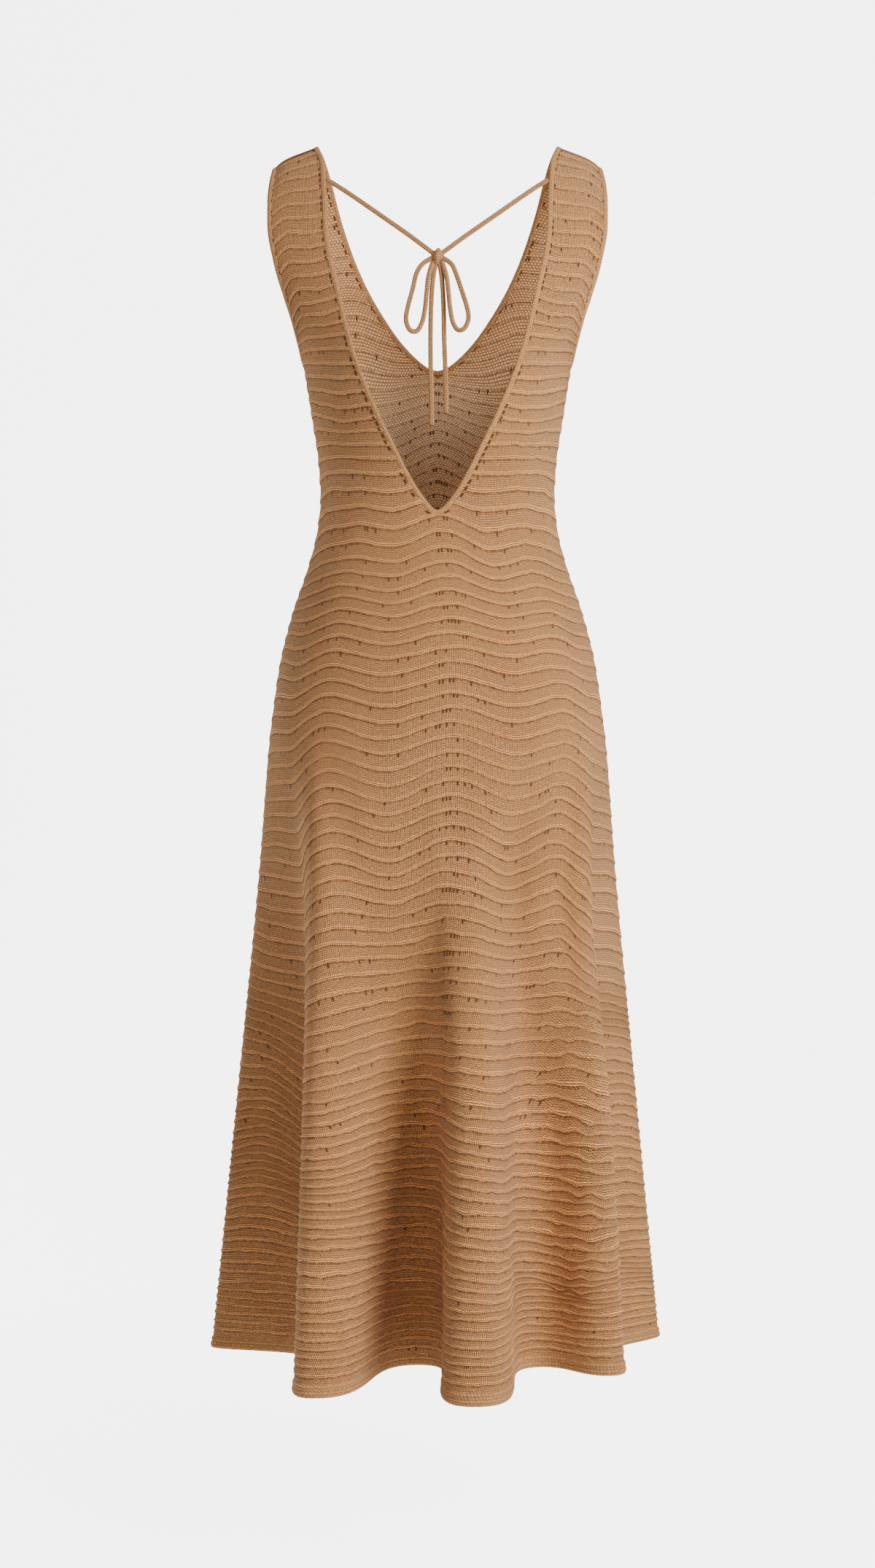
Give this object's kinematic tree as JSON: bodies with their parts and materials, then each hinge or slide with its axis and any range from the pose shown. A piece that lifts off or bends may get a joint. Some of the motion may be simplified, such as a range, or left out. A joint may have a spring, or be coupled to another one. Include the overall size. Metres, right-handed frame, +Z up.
{
  "type": "sweater dress",
  "caption": "Sleeveless welted knit midi dress with a deep V neck front and back and a tie across the open back, hollow as it is when worn.",
  "frame": {"origin": "middle of the shoulder line, level with the tops of the shoulder straps, where the wearer's shoulders hold the dress up (a mount of kind other, wearer_shoulders)", "axes": "+Z up the body, the front of the dress faces +Y and its open back with the tie faces -Y, +X towards the wearer's right side; left and right in the names are the wearer's own"},
  "size_m": [0.4692, 0.4517, 1.2391],
  "materials": {
    "knit": "matte camel-coloured knit in raised welts",
    "edge": "matte camel-coloured chain-stitched edging",
    "cord": "matte camel-coloured knitted cord"
  },
  "bodies": {
    "root": {"back_panel": "knit", "front_panel": "knit", "back_neck_trim": "edge", "front_neck_trim": "edge", "armhole_trim_left": "edge", "armhole_trim_right": "edge", "hem_band_back": "edge", "hem_band_front": "edge", "tie_cord_left": "cord", "tie_cord_right": "cord", "tie_loop_left": "cord", "tie_loop_right": "cord", "tie_tail_left": "cord", "tie_tail_right": "cord", "tie_knot": "cord"}
  },
  "joints": []
}
